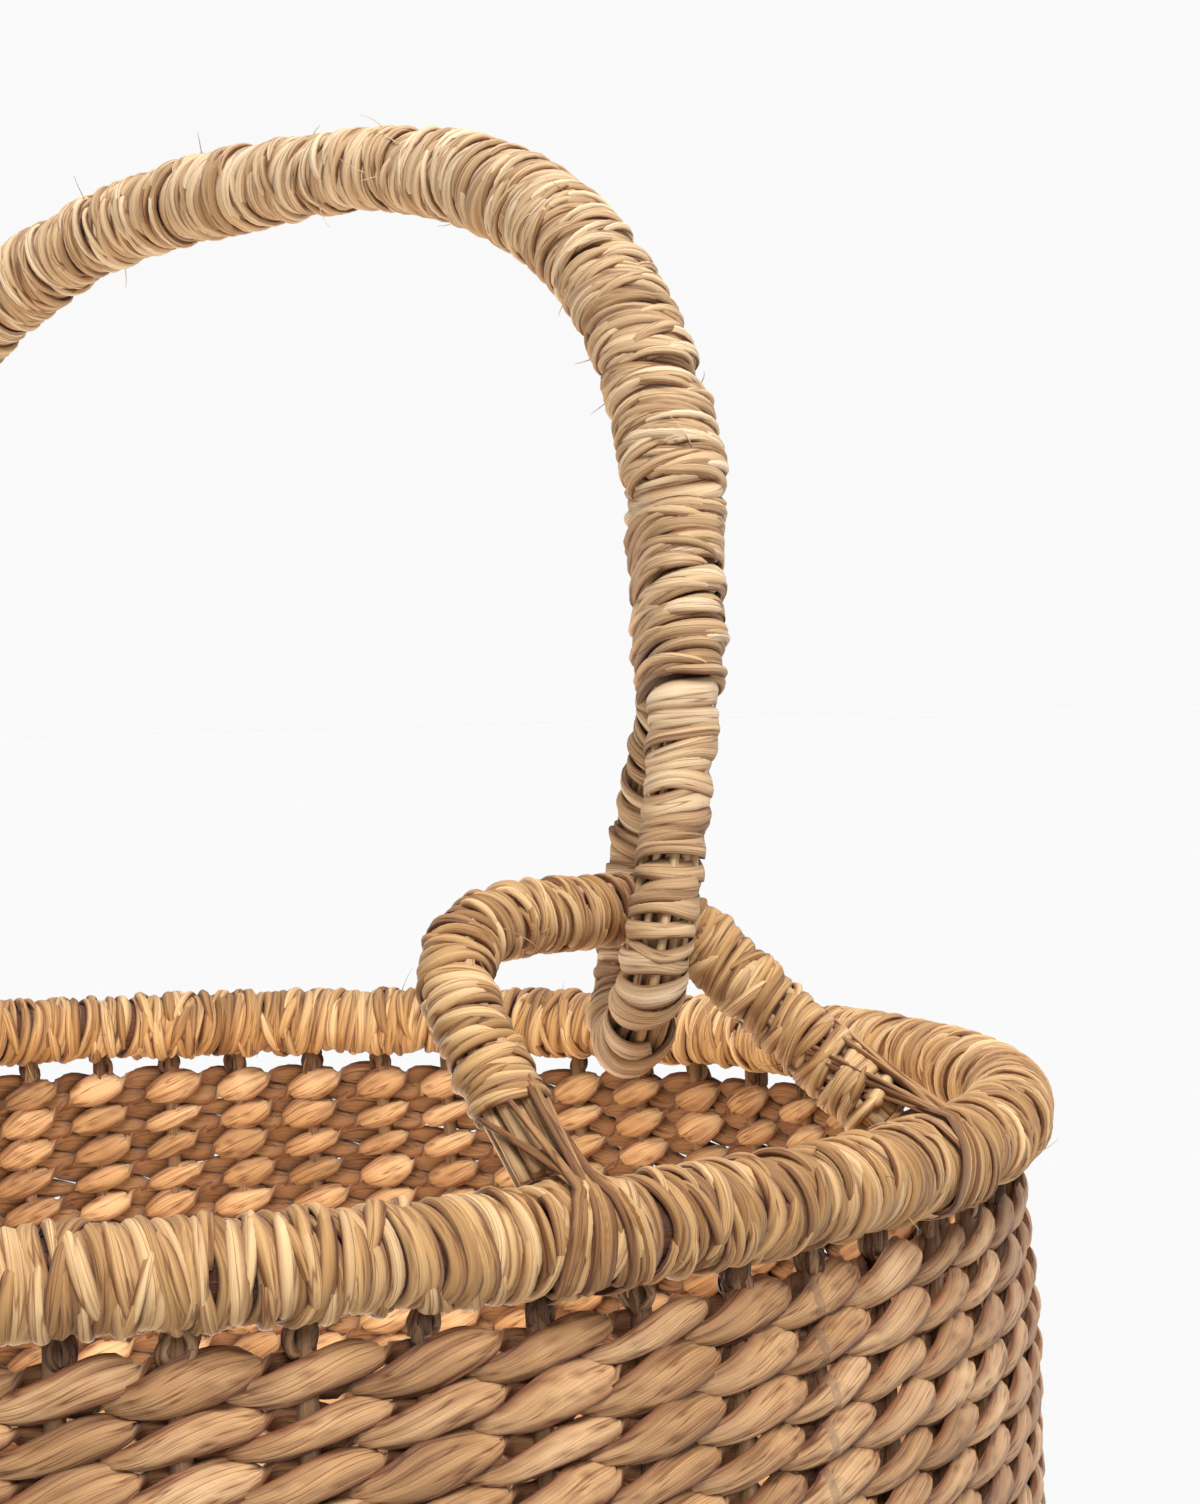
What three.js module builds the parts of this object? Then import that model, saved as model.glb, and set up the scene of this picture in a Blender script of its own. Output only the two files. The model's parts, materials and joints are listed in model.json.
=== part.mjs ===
// A round seagrass storage basket with a wrapped bail handle.
//
// The base and wall are twined courses of seagrass on upright stakes. A thick wrapped rim
// closes the wall. Two wrapped loops, the ears, stand on the rim and lean inward, and each end
// of the handle is bent round the top bar of an ear and bound back to itself, so the handle
// swings about the line through both ears.
//
// Millimetres, +Z up. The origin is on the floor under the middle of the base, and +X points
// from the middle to one ear. The part is mirrored across x = 0, apart from its weave.

import * as THREE from 'three';

// Rim and wall
const RIM_RADIUS = 192;
const RIM_THICKNESS = 18;
const RIM_HEIGHT = 240;
const RIM_SKIN = 2.7;
const RIM_CORE_CLEARANCE = 1;
const RIM_SLOT_HALF_ANGLE = THREE.MathUtils.degToRad(32);
const COURSE_COUNT = 27;
const COURSE_PITCH = 8.3;
const BELLY_RADIUS = 198;
const BELLY_HEIGHT = 178;
const FOOT_RADIUS = 181;
const MOUTH_RADIUS = 195;
const MOUTH_CURVE = 2;
const FOOT_CURVE = 2.2;
const COURSE_DEPTH = 5.2;
const STAKE_DEPTH = 3;
const STAKE_PANEL_COUNT = 10;
const KNOT_HEIGHT = 2;
const KNOT_DEPTH = 4.2;
const BASE_THICKNESS = 7;
const BORDER_WIDTH = 7.4;

// Ears
const EAR_THICKNESS = 14.5;
const EAR_BAR_RADIUS = 142;
const EAR_BAR_HEIGHT = 289;
const EAR_FRONT = { footAngle: THREE.MathUtils.degToRad(-15.8), cornerY: -46, cornerReach: 26 };
const EAR_BACK = { footAngle: THREE.MathUtils.degToRad(12.6), cornerY: 19, cornerReach: 14 };
const EAR_CORE_THICKNESS = 8.4;
const EAR_BORE = 10.4;
const EAR_WRAP_START = 0.07;
const EAR_WRAP_END = 0.97;
const LASHING_LENGTH = 16;
const LASHING_THICKNESS = 1.3;
const LASHING_STEPS = [-1, -0.33, 0.33, 1];
const CORNER_STEPS = 5;

// Handle, in its own frame: the hinge axis is the x axis of that frame
const HINGE_Y = 15;
const HINGE_HEIGHT = 288;
const HANDLE_LEAN = THREE.MathUtils.degToRad(-15);
const ARCH_FOOT = -18;
const HANDLE_HALF_SPAN = 157;
const HANDLE_RISE = 180.5;
const HANDLE_SQUARENESS = 2.655;
const HANDLE_THICKNESS = 18.6;
const HANDLE_CORE_THICKNESS = 8.2;
const HANDLE_BORE = 11;
const EYE_THICKNESS = 14;
const EYE_HALF_GAP = 19.5;
const EYE_TWIST = THREE.MathUtils.degToRad(-40);
const EYE_TURN_HEIGHT = -5.5;
const EYE_CLOSING_HEIGHT = 9;
const EYE_CROTCH_HEIGHT = 46;
const EYE_END_HEIGHT = 80;
const GRIP_START_HEIGHT = 87;
const BOUND_SPACING = 14.7;
const BINDING_LENGTH = 22;
const BINDING_THICKNESS = 1.5;
const BINDING_LOOSENESS = 0.9;
const EYE_POINT_SPACING = 9;
const EYE_TURN_STEPS = 8;
const EYE_TURN_LEAD = 6;

// Clearance left between neighbouring pieces, and how finely round shapes are cut
const GAP = 0.3;
const WALL_FACETS = 30;
const RIM_FACETS = 60;
const STAKE_LEVELS = 6;
const TUBE_SIDES = 8;
const CORE_SIDES = 6;
const EAR_STEPS = 22;
const EYE_STEPS = 26;
const GRIP_STEPS = 30;
const HANDLE_CORE_STEPS = 84;

const RIM_TUBE = RIM_THICKNESS / 2;
const STAKE_TOP = RIM_HEIGHT - RIM_TUBE - LASHING_THICKNESS - 3 * GAP;
const COURSE_TOP = STAKE_TOP - KNOT_HEIGHT - GAP;

// A lathe turned upright has its first facet edge on +X when it starts at this angle.
const START_ON_X = Math.PI / 2;

const COLORS = {
  wall: 0xc9a873,
  wallDark: 0xb8935c,
  stake: 0xa98552,
  rim: 0xd2b37f,
  lashing: 0xa5835a,
  core: 0xdcc7a0,
  ear: 0xcfae78,
  handle: 0xcdab75,
  base: 0xb08d58,
};

const basket = new THREE.Group();

function addPiece(parent, name, geometry, color) {
  const material = new THREE.MeshStandardMaterial({ color, roughness: 0.8, metalness: 0 });
  const mesh = new THREE.Mesh(geometry, material);
  mesh.name = name;
  parent.add(mesh);
  return mesh;
}

// Outer radius of the wall at height z: a slow belly, drawn in a little to the mouth and more
// to the foot.
function wallRadius(z) {
  if (z > BELLY_HEIGHT) {
    const up = (z - BELLY_HEIGHT) / (COURSE_TOP - BELLY_HEIGHT);
    return BELLY_RADIUS - (BELLY_RADIUS - MOUTH_RADIUS) * up ** MOUTH_CURVE;
  }
  const down = (BELLY_HEIGHT - z) / BELLY_HEIGHT;
  return BELLY_RADIUS - (BELLY_RADIUS - FOOT_RADIUS) * down ** FOOT_CURVE;
}

// A ring round +Z from a closed outline of [radius, height] corners, which runs anticlockwise
// with the radius to the right and the height up.
function ring(corners, facets) {
  const outline = corners.map(([radius, height]) => new THREE.Vector2(radius, height));
  outline.push(outline[0].clone());
  const geometry = new THREE.LatheGeometry(outline, facets, START_ON_X);
  geometry.rotateX(Math.PI / 2);
  return geometry;
}

// Part of such a ring, between two angles, with flat ends.
function ringSector(corners, from, to, facets) {
  const outline = corners.map(([radius, height]) => new THREE.Vector2(radius, height));
  const section = (step) => {
    const angle = from + ((to - from) * step) / facets;
    return outline.map((p) => [p.x * Math.cos(angle), p.x * Math.sin(angle), p.y]);
  };
  const triangles = [];
  for (let step = 0; step < facets; step += 1) {
    const [near, far] = [section(step), section(step + 1)];
    outline.forEach((_, i) => {
      const next = (i + 1) % outline.length;
      triangles.push(near[i], far[i], far[next], near[i], far[next], near[next]);
    });
  }
  const [first, last] = [section(0), section(facets)];
  for (const [a, b, c] of THREE.ShapeUtils.triangulateShape(outline, [])) {
    triangles.push(first[a], first[b], first[c], last[c], last[b], last[a]);
  }
  const geometry = new THREE.BufferGeometry();
  geometry.setAttribute('position', new THREE.Float32BufferAttribute(triangles.flat(), 3));
  geometry.computeVertexNormals();
  return geometry;
}

function disc(radius, thickness, facets) {
  const outline = [
    new THREE.Vector2(0, 0),
    new THREE.Vector2(radius, 0),
    new THREE.Vector2(radius, thickness),
    new THREE.Vector2(0, thickness),
  ];
  const geometry = new THREE.LatheGeometry(outline, facets, START_ON_X);
  geometry.rotateX(Math.PI / 2);
  return geometry;
}

function circlePoints(radius, sides) {
  return Array.from({ length: sides }, (_, i) => {
    const turn = (i / sides) * 2 * Math.PI;
    return new THREE.Vector2(radius * Math.cos(turn), radius * Math.sin(turn));
  });
}

// A round rod along a path, or a pipe when it has a bore.
function rod(path, radius, sides, steps, boreRadius = 0) {
  const section = new THREE.Shape(circlePoints(radius, sides));
  if (boreRadius > 0) {
    section.holes.push(new THREE.Path(circlePoints(boreRadius, sides).reverse()));
  }
  return new THREE.ExtrudeGeometry(section, { steps, extrudePath: path, bevelEnabled: false });
}

function curveThrough(points) {
  return new THREE.CatmullRomCurve3(points, false, 'centripetal');
}

// The part of a curve between two fractions of its length.
function stretch(curve, from, to, count) {
  const points = [];
  for (let i = 0; i <= count; i += 1) {
    points.push(curve.getPointAt(from + ((to - from) * i) / count));
  }
  return curveThrough(points);
}

function midpoint(a, b) {
  return a.clone().add(b).divideScalar(2);
}

// A corner at b between a and c, rounded with a quadratic curve that starts and ends at the
// given distance from b.
function softCorner(a, b, c, distance) {
  const start = b.clone().add(a.clone().sub(b).setLength(distance));
  const end = b.clone().add(c.clone().sub(b).setLength(distance));
  return new THREE.QuadraticBezierCurve3(start, b, end).getPoints(CORNER_STEPS);
}

// Mirrors a geometry across x = 0 and turns its faces out again.
function mirrorGeometry(geometry) {
  geometry.scale(-1, 1, 1);
  const { position } = geometry.attributes;
  const corner = new THREE.Vector3();
  const other = new THREE.Vector3();
  for (let i = 0; i < position.count; i += 3) {
    corner.fromBufferAttribute(position, i);
    other.fromBufferAttribute(position, i + 1);
    position.setXYZ(i, other.x, other.y, other.z);
    position.setXYZ(i + 1, corner.x, corner.y, corner.z);
  }
  return geometry;
}

function addBase() {
  const borderOuter = wallRadius(0) - COURSE_DEPTH - GAP;
  const borderInner = borderOuter - BORDER_WIDTH;
  addPiece(basket, 'base_weave', disc(borderInner - GAP, BASE_THICKNESS, WALL_FACETS), COLORS.base);
  const border = ring([
    [borderInner, 0],
    [borderOuter, 0],
    [borderOuter, BASE_THICKNESS],
    [borderInner, BASE_THICKNESS],
  ], WALL_FACETS);
  addPiece(basket, 'base_border', border, COLORS.wallDark);
}

// One course is two strands twined round the stakes. The solid is the band they fill outside
// the stakes.
function addWallCourse(index) {
  const top = COURSE_TOP - (COURSE_COUNT - 1 - index) * COURSE_PITCH;
  const bottom = top - COURSE_PITCH + GAP;
  const course = ring([
    [wallRadius(bottom) - COURSE_DEPTH, bottom],
    [wallRadius(bottom), bottom],
    [wallRadius(top), top],
    [wallRadius(top) - COURSE_DEPTH, top],
  ], WALL_FACETS);
  const name = `wall_course_${String(index + 1).padStart(2, '0')}`;
  addPiece(basket, name, course, index % 2 ? COLORS.wall : COLORS.wallDark);
}

// The stakes stand close together all round, so each thin panel fills the layer of six stakes.
function addStakes() {
  const bottom = BASE_THICKNESS + GAP;
  const top = STAKE_TOP;
  const outer = [];
  const inner = [];
  for (let i = 0; i <= STAKE_LEVELS; i += 1) {
    const z = bottom + ((top - bottom) * i) / STAKE_LEVELS;
    const face = wallRadius(Math.min(z, COURSE_TOP)) - COURSE_DEPTH - 2 * GAP;
    outer.push([face, z]);
    inner.unshift([face - STAKE_DEPTH, z]);
  }
  const span = (2 * Math.PI) / STAKE_PANEL_COUNT;
  const halfGap = GAP / 2 / FOOT_RADIUS;
  for (let i = 0; i < STAKE_PANEL_COUNT; i += 1) {
    const [from, to] = [i * span + halfGap, (i + 1) * span - halfGap];
    const panel = ringSector([...outer, ...inner], from, to, WALL_FACETS / STAKE_PANEL_COUNT);
    const name = `stake_panel_${String(i + 1).padStart(2, '0')}`;
    addPiece(basket, name, panel, COLORS.stake);
  }
}

// The rim is a wrapped core. The wrap is open underneath, where the stakes come in.
function addRim() {
  const outer = [];
  const inner = [];
  const wrapped = 2 * Math.PI - 2 * RIM_SLOT_HALF_ANGLE;
  for (let i = 0; i <= TUBE_SIDES; i += 1) {
    const turn = RIM_SLOT_HALF_ANGLE - Math.PI / 2 + (wrapped * i) / TUBE_SIDES;
    const [across, up] = [Math.cos(turn), Math.sin(turn)];
    outer.push([RIM_RADIUS + RIM_TUBE * across, RIM_HEIGHT + RIM_TUBE * up]);
    const bore = RIM_TUBE - RIM_SKIN;
    inner.unshift([RIM_RADIUS + bore * across, RIM_HEIGHT + bore * up]);
  }
  addPiece(basket, 'rim_wrap', ring([...outer, ...inner], RIM_FACETS), COLORS.rim);

  const coreRadius = RIM_TUBE - RIM_SKIN - RIM_CORE_CLEARANCE;
  const core = circlePoints(coreRadius, CORE_SIDES).map((p) => [RIM_RADIUS + p.x, RIM_HEIGHT + p.y]);
  addPiece(basket, 'rim_core', ring(core, RIM_FACETS), COLORS.core);

  const knotTop = STAKE_TOP;
  const knotBottom = COURSE_TOP + GAP;
  const knots = ring([
    [MOUTH_RADIUS - COURSE_DEPTH, knotBottom],
    [MOUTH_RADIUS - COURSE_DEPTH + KNOT_DEPTH, knotBottom],
    [MOUTH_RADIUS - COURSE_DEPTH + KNOT_DEPTH, knotTop],
    [MOUTH_RADIUS - COURSE_DEPTH, knotTop],
  ], WALL_FACETS);
  addPiece(basket, 'rim_lashing', knots, COLORS.lashing);
}

function rimPoint(angle) {
  return new THREE.Vector3(RIM_RADIUS * Math.cos(angle), RIM_RADIUS * Math.sin(angle), RIM_HEIGHT);
}

// One ear on the +X side: up from the rim, across as a bar, and down to the rim again. Each leg
// starts at the outside of the ribbon that ties it down.
function earPath() {
  const lashingRadius = RIM_TUBE + LASHING_THICKNESS + 4 * GAP;
  const [front, back] = [EAR_FRONT, EAR_BACK].map(({ footAngle, cornerY, cornerReach }) => {
    const corner = new THREE.Vector3(EAR_BAR_RADIUS, cornerY, EAR_BAR_HEIGHT);
    const root = rimPoint(footAngle);
    const foot = corner.clone().sub(root).setLength(lashingRadius).add(root);
    return { foot, corner, cornerReach };
  });
  const frontBend = softCorner(front.foot, front.corner, back.corner, front.cornerReach);
  const backBend = softCorner(front.corner, back.corner, back.foot, back.cornerReach);
  return curveThrough([
    front.foot,
    midpoint(front.foot, frontBend[0]),
    ...frontBend,
    midpoint(frontBend.at(-1), backBend[0]),
    ...backBend,
    midpoint(backBend.at(-1), back.foot),
    back.foot,
  ]);
}

function lashingGeometry(angle) {
  const halfTurn = LASHING_LENGTH / 2 / RIM_RADIUS;
  const points = LASHING_STEPS.map((step) => rimPoint(angle + step * halfTurn));
  const bore = RIM_TUBE + 2 * GAP;
  return rod(curveThrough(points), bore + LASHING_THICKNESS, TUBE_SIDES + 4, 3, bore);
}

function addEar(side, label) {
  const path = earPath();
  const wrapPath = stretch(path, EAR_WRAP_START, EAR_WRAP_END, EAR_STEPS);
  const core = rod(path, EAR_CORE_THICKNESS / 2, CORE_SIDES, EAR_STEPS);
  const wrap = rod(wrapPath, EAR_THICKNESS / 2, TUBE_SIDES, EAR_STEPS, EAR_BORE / 2);
  const pieces = [
    [`ear_core_${label}`, core, COLORS.core],
    [`ear_wrap_${label}`, wrap, COLORS.ear],
    [`ear_lashing_${label}_a`, lashingGeometry(EAR_FRONT.footAngle), COLORS.lashing],
    [`ear_lashing_${label}_b`, lashingGeometry(EAR_BACK.footAngle), COLORS.lashing],
  ];
  for (const [name, geometry, color] of pieces) {
    addPiece(basket, name, side < 0 ? mirrorGeometry(geometry) : geometry, color);
  }
}

// Horizontal direction from the inner strand of an eye to its outer strand.
const EYE_ACROSS = new THREE.Vector3(Math.cos(EYE_TWIST), Math.sin(EYE_TWIST), 0);
const EYE_OFFSET = EYE_ACROSS.clone().multiplyScalar(EYE_HALF_GAP);

// Half the span of the arch at a height above the hinge axis.
function archX(z) {
  const up = Math.min(1, (z - ARCH_FOOT) / HANDLE_RISE);
  return HANDLE_HALF_SPAN * (1 - up ** HANDLE_SQUARENESS) ** (1 / HANDLE_SQUARENESS);
}

function outerStrand(z) {
  return new THREE.Vector3(archX(z), EYE_OFFSET.y, z);
}

// The inner strand starts one eye away from the outer one and closes in to lie against it.
function innerStrand(z) {
  const closing = THREE.MathUtils.smoothstep(z, EYE_CLOSING_HEIGHT, EYE_CROTCH_HEIGHT);
  const spacing = THREE.MathUtils.lerp(2 * EYE_HALF_GAP, BOUND_SPACING, closing);
  return outerStrand(z).addScaledVector(EYE_ACROSS, -spacing);
}

// From the free end of the inner strand, down, round under the ear bar, and up the outer
// strand to the top of the eye.
function eyePoints() {
  const points = [];
  for (let z = EYE_END_HEIGHT; z > EYE_TURN_HEIGHT + EYE_TURN_LEAD; z -= EYE_POINT_SPACING) {
    points.push(innerStrand(z));
  }
  const start = outerStrand(EYE_TURN_HEIGHT);
  const centre = start.clone().sub(EYE_OFFSET);
  for (let i = 0; i <= EYE_TURN_STEPS; i += 1) {
    const turn = Math.PI * (1 - i / EYE_TURN_STEPS);
    const point = centre.clone().addScaledVector(EYE_ACROSS, EYE_HALF_GAP * Math.cos(turn));
    point.z -= EYE_HALF_GAP * Math.sin(turn);
    points.push(point);
  }
  for (let z = EYE_TURN_HEIGHT + EYE_POINT_SPACING; z < EYE_END_HEIGHT; z += EYE_POINT_SPACING) {
    points.push(outerStrand(z));
  }
  return points;
}

// The arch from the top of one eye to the top of the other, by equal turns of its superellipse.
function archPoints() {
  const points = [];
  const exponent = 2 / HANDLE_SQUARENESS;
  const startHeight = (GRIP_START_HEIGHT - ARCH_FOOT) / HANDLE_RISE;
  const firstTurn = Math.asin(startHeight ** (1 / exponent));
  const count = 20;
  for (let i = 0; i <= count; i += 1) {
    const turn = firstTurn + ((Math.PI - 2 * firstTurn) * i) / count;
    const across = Math.sign(Math.cos(turn)) * Math.abs(Math.cos(turn)) ** exponent;
    const x = HANDLE_HALF_SPAN * across;
    const z = ARCH_FOOT + HANDLE_RISE * Math.sin(turn) ** exponent;
    points.push(new THREE.Vector3(x, EYE_OFFSET.y, z));
  }
  return points;
}

function mirrored(points) {
  return points.map((p) => new THREE.Vector3(-p.x, p.y, p.z)).reverse();
}

// A flat band round both strands of an eye, above its crotch.
function bindingGeometry(side) {
  const bore = EYE_THICKNESS / 2 + BINDING_LOOSENESS;
  const radius = bore + BINDING_THICKNESS;
  const section = new THREE.Shape(stadiumPoints(radius));
  section.holes.push(new THREE.Path(stadiumPoints(bore).reverse()));
  const geometry = new THREE.ExtrudeGeometry(section, { depth: BINDING_LENGTH, bevelEnabled: false });
  geometry.translate(0, 0, -BINDING_LENGTH / 2);
  const middleHeight = (EYE_CROTCH_HEIGHT + EYE_END_HEIGHT) / 2;
  const halfLength = BINDING_LENGTH / 2;
  const along = outerStrand(middleHeight + halfLength).sub(outerStrand(middleHeight - halfLength));
  along.normalize();
  const middle = outerStrand(middleHeight).addScaledVector(EYE_ACROSS, -BOUND_SPACING / 2);
  const sideways = along.clone().cross(EYE_ACROSS).normalize();
  const across = sideways.clone().cross(along);
  const basis = new THREE.Matrix4().makeBasis(across, sideways, along).setPosition(middle);
  geometry.applyMatrix4(basis);
  return side < 0 ? mirrorGeometry(geometry) : geometry;
}

function stadiumPoints(radius) {
  const ends = circlePoints(radius, TUBE_SIDES * 2);
  return ends.map((p) => new THREE.Vector2(p.x + (Math.sign(p.x) * BOUND_SPACING) / 2, p.y));
}

function addHandle() {
  const group = new THREE.Group();
  group.position.set(0, HINGE_Y, HINGE_HEIGHT);
  group.rotation.x = HANDLE_LEAN;
  basket.add(group);

  const eye = eyePoints();
  const arch = archPoints();
  const coreRadius = HANDLE_CORE_THICKNESS / 2;
  const bore = HANDLE_BORE / 2;
  const whole = curveThrough([...eye, ...arch, ...mirrored(eye)]);
  addPiece(group, 'handle_core', rod(whole, coreRadius, CORE_SIDES, HANDLE_CORE_STEPS), COLORS.core);

  const grip = curveThrough(arch);
  const gripWrap = rod(grip, HANDLE_THICKNESS / 2, TUBE_SIDES + 2, GRIP_STEPS, bore);
  addPiece(group, 'handle_wrap', gripWrap, COLORS.handle);

  for (const [label, points] of [['right', eye], ['left', mirrored(eye)]]) {
    const wrap = rod(curveThrough(points), EYE_THICKNESS / 2, TUBE_SIDES, EYE_STEPS, bore);
    addPiece(group, `eye_wrap_${label}`, wrap, COLORS.handle);
  }
  addPiece(group, 'eye_binding_right', bindingGeometry(1), COLORS.lashing);
  addPiece(group, 'eye_binding_left', bindingGeometry(-1), COLORS.lashing);
}

addBase();
addStakes();
for (let i = 0; i < COURSE_COUNT; i += 1) {
  addWallCourse(i);
}
addRim();
addEar(1, 'right');
addEar(-1, 'left');
addHandle();

export default basket;
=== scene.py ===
"""A seagrass storage basket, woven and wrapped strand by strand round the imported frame.

Every strand is a swept ribbon: a folded blade of grass with its own centreline, width, roll and
creases. The wall is two-strand twining on upright stakes. The rim, the ears and the handle are
cores with ribbon wound round them. All lengths are in metres.
"""
import json
import math

import bpy
import numpy as np
from mathutils import Matrix, Vector


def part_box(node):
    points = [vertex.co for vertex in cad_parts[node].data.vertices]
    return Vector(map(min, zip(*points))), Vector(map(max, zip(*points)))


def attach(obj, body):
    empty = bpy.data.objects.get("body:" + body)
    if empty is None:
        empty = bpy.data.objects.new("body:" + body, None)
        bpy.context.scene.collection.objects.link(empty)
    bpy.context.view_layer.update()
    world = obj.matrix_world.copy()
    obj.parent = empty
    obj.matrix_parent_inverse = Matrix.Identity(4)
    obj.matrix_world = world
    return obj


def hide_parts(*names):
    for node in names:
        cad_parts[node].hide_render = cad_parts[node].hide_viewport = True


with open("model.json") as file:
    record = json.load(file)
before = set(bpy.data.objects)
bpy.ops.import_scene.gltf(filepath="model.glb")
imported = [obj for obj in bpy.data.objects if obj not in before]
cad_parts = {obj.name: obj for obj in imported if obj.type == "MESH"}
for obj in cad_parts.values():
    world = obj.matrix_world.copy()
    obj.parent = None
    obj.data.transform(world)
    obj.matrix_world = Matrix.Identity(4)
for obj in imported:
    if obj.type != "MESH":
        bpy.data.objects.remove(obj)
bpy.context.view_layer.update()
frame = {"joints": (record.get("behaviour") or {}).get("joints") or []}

# The plan that the frame was built from
STAKE_COUNT = 60
COURSE_COUNT = 27
COURSE_NAMES = [f"wall_course_{i + 1:02d}" for i in range(COURSE_COUNT)]
STAKE_PANEL_COUNT = 10
STAKE_PANELS = [f"stake_panel_{i + 1:02d}" for i in range(STAKE_PANEL_COUNT)]
RIM_RADIUS = 0.192
EAR_BAR_RADIUS = 0.142
EAR_BAR_HEIGHT = 0.289
EAR_FOOT_ANGLES = (math.radians(-15.8), math.radians(12.6))
EAR_CORNERS_Y = (-0.046, 0.019)
EAR_CORNER_REACHES = (0.026, 0.014)
EAR_FOOT_LIFT = 0.0115
HANDLE_LEAN = math.radians(-15)
HANDLE_HALF_SPAN = 0.157
HANDLE_RISE = 0.1805
HANDLE_SQUARENESS = 2.655
ARCH_FOOT = -0.018
EYE_HALF_GAP = 0.0195
EYE_TWIST = math.radians(-40)
EYE_TURN_HEIGHT = -0.0055
EYE_CLOSING_HEIGHT = 0.009
EYE_CROTCH_HEIGHT = 0.046
EYE_END_HEIGHT = 0.080
EYE_POINT_SPACING = 0.009
BOUND_SPACING = 0.0147

RIM_HEIGHT = (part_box("rim_core")[0].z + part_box("rim_core")[1].z) / 2
RIM_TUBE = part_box("rim_wrap")[1].z - RIM_HEIGHT
HINGE = np.array(frame["joints"][0]["pos_m"])

# How finely a ribbon is cut
TOP_POINTS = 11
BOTTOM_POINTS = 2
STEPS_PER_TURN = 28
STEPS_PER_STAKE = 10
STRAP_STEPS = 34

# Twining. OUTER_SHARE is how far a strand stays outside past the middle between two stakes. The
# courses from OPEN_ROW up are looser and leave gaps.
OUTER_SHARE = 0.38
OPEN_ROW = 18
OPENNESS = 0.5
WALL_STRAND = {"half_width": 0.0046, "depth": 0.0018, "rise": 0.0023, "swing": 0.0024}
BASE_STRAND = {"half_width": 0.0042, "depth": 0.0014, "rise": 0.0018, "swing": 0.0014}
BORDER_STRAND = {"half_width": 0.0050, "depth": 0.0017, "rise": 0.0014, "swing": 0.0016}
STAKE_INSET = 0.0045
STAKE_RADIUS = 0.0019
STAKE_FOOT_LIFT = 0.0035
STAKE_TOP_OVERLAP = 0.002
BORDER_INSET = 0.0037
BASE_PITCH = 0.0083
SPOKE_RADIUS = 0.0014
ALL_SPOKES_FROM = 0.095
HALF_SPOKES_FROM = 0.040
QUARTER_SPOKES_FROM = 0.008
HUB_LEAVES = 7
HUB_SPACING = 0.0038
HUB_REACH = 0.017
HUB_LEAF = {"half_width": 0.0022, "thickness": 0.0010}

# Windings: how wide and how uneven the turns are, then the pitch, the thickness of the ribbon and
# the radius of the outside for each. Half width and cross are in pitches, roll and twist in radians.
TURN_HALF_WIDTH = 0.64
TURN_ROLL = 0.15
TURN_TWIST = 0.42
TURN_CROSS = 0.42
TONE_SPREAD = 0.30
PAIR_FLATNESS = 2.2
LOOSE_TURN_INSET = 0.0002
HAIR_LENGTH = 0.009
HAIR_RADIUS = 0.00016
RIM_PITCH = 0.0029
EAR_PITCH = 0.0026
HANDLE_PITCH = 0.0031
EYE_PITCH = 0.0033
RIM_RIBBON = 0.0015
EAR_RIBBON = 0.0013
HANDLE_RIBBON = 0.0015
BINDING_RIBBON = 0.0014
EYE_RIBBON = 0.0009
EAR_TUBE = 0.0068
EYE_TUBE = 0.0066
HANDLE_TUBE = 0.0093
NECK_TUBE = 0.0079
NECK_FLARE = 0.0013
LINING_DEPTH = 0.0021
LINING_SIDES = 20
WOUND_LEAF = {"crease": 0.3, "roundness": 2.0}
LOOSE_TURNS = {"rim": 800, "handle": 420, "ear": 110, "binding": 26}
HAIRS = {"rim": 60, "handle": 50, "ear": 10}

# Cores: bundles of thin round strands
GOLDEN_ANGLE = 2.399963
RIM_CORE = {"radius": 0.0062, "count": 16, "thickness": 0.0015}
EAR_CORE = {"radius": 0.0056, "count": 18, "thickness": 0.0012}
HANDLE_CORE = {"radius": 0.006, "count": 14, "thickness": 0.0014}
EYE_CORE = {"radius": 0.0056, "count": 22, "thickness": 0.0010}

# Ends of the windings, lashings, straps and knots. A strap goes over the rim by STRAP_ROUTE:
# degrees up from the outside of the rim, and the share of its drift that it has made by then.
EAR_BARE_FRONT = 0.014
EAR_BARE_BACK = 0.004
EYE_WINDOW = 0.005
EYE_WINDOW_PLACE = 0.62
LASHING = {"count": 9, "thickness": 0.0009, "lean": 0.007, "half_width": 0.0030}
LASHING_REACH = 0.007
LASHING_RAISE = 0.0009
STRAPS_PER_FOOT = 16
BROAD_STRAPS = 2
BROAD_STRAP_HALF_WIDTH = 0.0023
STRAP_THICKNESS = 0.0008
STRAP_START_RADIUS = 0.0066
STRAP_ROUTE = ((75, 0.3), (45, 0.5), (15, 0.75), (-20, 0.95), (-48, 1.0))
LOOPS_PER_KNOT = 4
KNOT_INSET = 0.0022
KNOT_RAISE = 0.0012
KNOT_THICKNESS = 0.0008

X_AXIS = np.array([1.0, 0.0, 0.0])
Y_AXIS = np.array([0.0, 1.0, 0.0])
UP = np.array([0.0, 0.0, 1.0])


# ---------------------------------------------------------------- camera, light and floor

CAMERA_PLACE = (0.526, -0.414, 0.328)
CAMERA_HEADING = math.radians(42.67)
CAMERA_PITCH = math.radians(0.95)
CAMERA_ROLL = math.radians(1.6)
CAMERA_LENS = 72.3
WHITE = 0.95
SURROUND_LIGHT = 0.34
FLOOR_WHITE = 0.608
FLOOR_HALF_SIZE = 40.0
GLOW_HEIGHT = 0.15
GLOW_RADIUS = 0.09
GLOW_POWER = 1.6
GLOW_COLOR = (1.0, 0.92, 0.76)


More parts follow.
